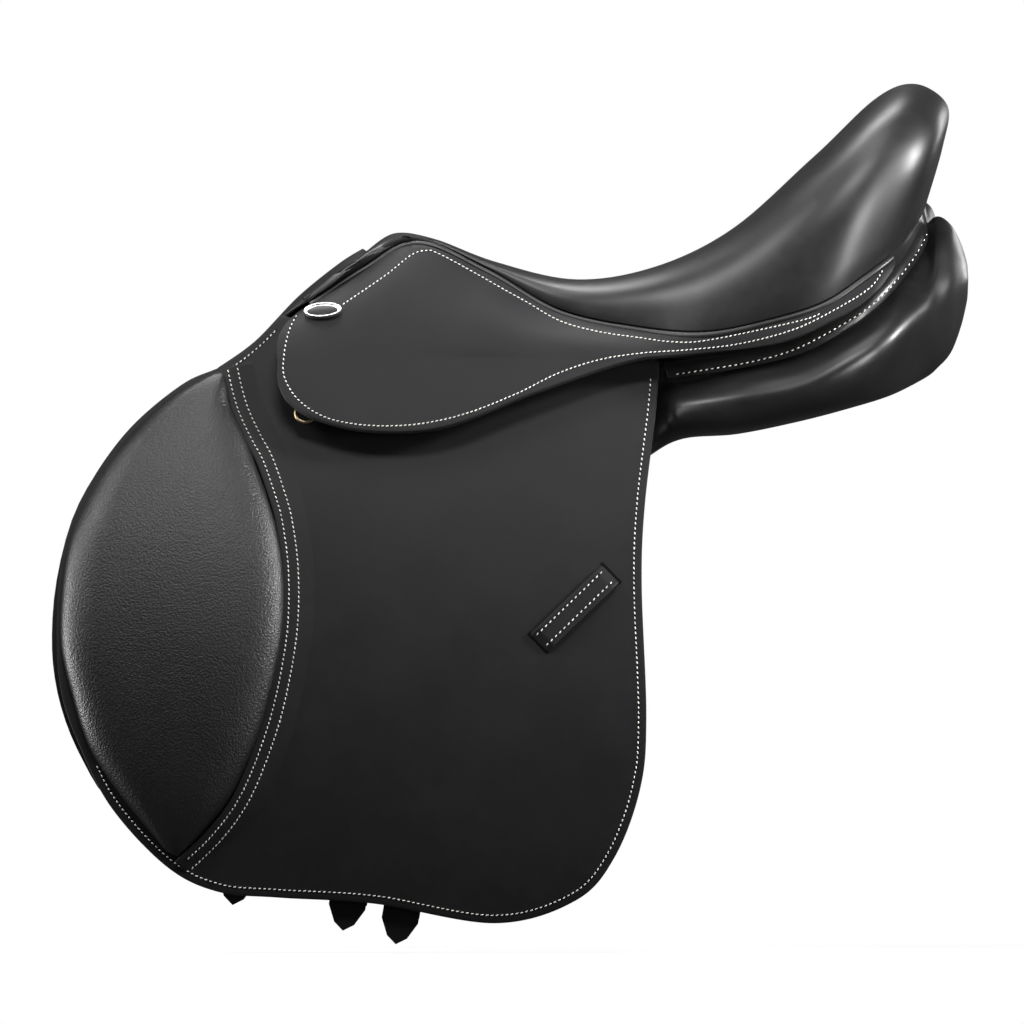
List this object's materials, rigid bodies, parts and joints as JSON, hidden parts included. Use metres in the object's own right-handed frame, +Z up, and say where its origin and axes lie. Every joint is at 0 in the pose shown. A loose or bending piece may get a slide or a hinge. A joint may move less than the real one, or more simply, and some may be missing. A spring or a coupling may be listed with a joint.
{
  "type": "jumping saddle",
  "caption": "Close-contact jumping saddle with forward flaps, padded knee rolls, deep seat, lifting skirts over stirrup bars, girth billets and stuffed panels.",
  "frame": {"origin": "on the centre plane, at the level where the panels bear on the horse's back, under the waist of the seat", "axes": "+X to the rear, +Z up, the near (left) side at -Y"},
  "size_m": [0.6085, 0.4198, 0.5702],
  "materials": {
    "leather": "matte smooth",
    "seat_leather": "satin smooth",
    "panel_leather": "satin smooth",
    "grained_leather": "pebbled grain",
    "strap_leather": "matte",
    "steel": "satin",
    "badge_metal": "polished, dark field",
    "brass": "polished",
    "laminate": "varnished laminate",
    "webbing": "woven",
    "foam": "foam"
  },
  "bodies": {
    "saddle": {"tree": "laminate", "spring_near": "steel", "spring_off": "steel", "gullet_plate": "steel", "tree_point_near": "laminate", "tree_point_off": "laminate", "head_rivets": "steel", "seat_webs": "webbing", "cross_web": "webbing", "seat_foam": "foam", "seat_cover": "seat_leather", "seat_welt_near": "leather", "seat_welt_off": "leather", "front_facing": "leather", "rear_facing_near": "leather", "rear_facing_off": "leather", "panel_near": "panel_leather", "panel_off": "panel_leather", "gullet_lining": "leather", "sweat_flap_near": "leather", "sweat_flap_off": "leather", "girth_web_near": "webbing", "girth_web_off": "webbing", "flap_upper_near": "leather", "flap_upper_off": "leather", "skirt_upper_near": "leather", "skirt_upper_off": "leather", "stirrup_bar_near": "steel", "stirrup_bar_off": "steel", "catch_pins": "steel", "dee_studs": "brass", "badge_near": "badge_metal", "badge_off": "badge_metal"},
    "flap_near": {"flap_lower_near": "leather", "knee_pad_near": "grained_leather", "keeper_loop_near": "leather"},
    "skirt_near": {"skirt_lower_near": "leather"},
    "billet_front_near": {"billet_front_near": "strap_leather"},
    "billet_middle_near": {"billet_middle_near": "strap_leather"},
    "billet_rear_near": {"billet_rear_near": "strap_leather"},
    "catch_near": {"bar_catch_near": "steel"},
    "dee_near": {"dee_ring_near": "brass", "dee_chape_near": "leather"},
    "flap_off": {"flap_lower_off": "leather", "knee_pad_off": "grained_leather", "keeper_loop_off": "leather"},
    "skirt_off": {"skirt_lower_off": "leather"},
    "billet_front_off": {"billet_front_off": "strap_leather"},
    "billet_middle_off": {"billet_middle_off": "strap_leather"},
    "billet_rear_off": {"billet_rear_off": "strap_leather"},
    "catch_off": {"bar_catch_off": "steel"},
    "dee_off": {"dee_ring_off": "brass", "dee_chape_off": "leather"}
  },
  "joints": [
    {"name": "flap_lift_near", "type": "hinge", "parent": "saddle", "child": "flap_near", "pos_m": [-0.195, -0.10983, 0.033], "axis": [-0.8934, 0.1814, 0.411], "range_deg": [0, 50]},
    {"name": "skirt_lift_near", "type": "hinge", "parent": "saddle", "child": "skirt_near", "pos_m": [0, -0.11909, 0.052], "axis": [-1, 0, 0], "range_deg": [0, 60]},
    {"name": "billet_front_swing_near", "type": "hinge", "parent": "saddle", "child": "billet_front_near", "pos_m": [-0.12752, -0.10835, 0.016], "axis": [0, -0.8796, 0.4757], "range_deg": [-6, 4]},
    {"name": "billet_middle_swing_near", "type": "hinge", "parent": "saddle", "child": "billet_middle_near", "pos_m": [-0.05152, -0.10835, 0.016], "axis": [0, -0.8796, 0.4757], "range_deg": [-3, 0.6]},
    {"name": "billet_rear_swing_near", "type": "hinge", "parent": "saddle", "child": "billet_rear_near", "pos_m": [-0.01493, -0.10835, 0.016], "axis": [0, -0.8796, 0.4757], "range_deg": [-0.6, 3.5]},
    {"name": "catch_turn_near", "type": "hinge", "parent": "saddle", "child": "catch_near", "pos_m": [-0.006, -0.11795, 0.04035], "axis": [0, -0.8578, 0.5139], "range_deg": [0, 90]},
    {"name": "dee_swing_near", "type": "hinge", "parent": "saddle", "child": "dee_near", "pos_m": [-0.137, -0.11305, 0.04926], "axis": [0, -0.8626, 0.506], "range_deg": [-12, 12]},
    {"name": "flap_lift_off", "type": "hinge", "parent": "saddle", "child": "flap_off", "pos_m": [-0.195, 0.10983, 0.033], "axis": [0.8934, 0.1814, -0.411], "range_deg": [0, 50]},
    {"name": "skirt_lift_off", "type": "hinge", "parent": "saddle", "child": "skirt_off", "pos_m": [0, 0.11909, 0.052], "axis": [1, 0, 0], "range_deg": [0, 60]},
    {"name": "billet_front_swing_off", "type": "hinge", "parent": "saddle", "child": "billet_front_off", "pos_m": [-0.12752, 0.10835, 0.016], "axis": [0, -0.8796, -0.4757], "range_deg": [-6, 4]},
    {"name": "billet_middle_swing_off", "type": "hinge", "parent": "saddle", "child": "billet_middle_off", "pos_m": [-0.05152, 0.10835, 0.016], "axis": [0, -0.8796, -0.4757], "range_deg": [-3, 0.6]},
    {"name": "billet_rear_swing_off", "type": "hinge", "parent": "saddle", "child": "billet_rear_off", "pos_m": [-0.01493, 0.10835, 0.016], "axis": [0, -0.8796, -0.4757], "range_deg": [-0.6, 3.5]},
    {"name": "catch_turn_off", "type": "hinge", "parent": "saddle", "child": "catch_off", "pos_m": [-0.006, 0.11795, 0.04035], "axis": [0, -0.8578, -0.5139], "range_deg": [0, 90]},
    {"name": "dee_swing_off", "type": "hinge", "parent": "saddle", "child": "dee_off", "pos_m": [-0.137, 0.11305, 0.04926], "axis": [0, -0.8626, -0.506], "range_deg": [-12, 12]}
  ]
}
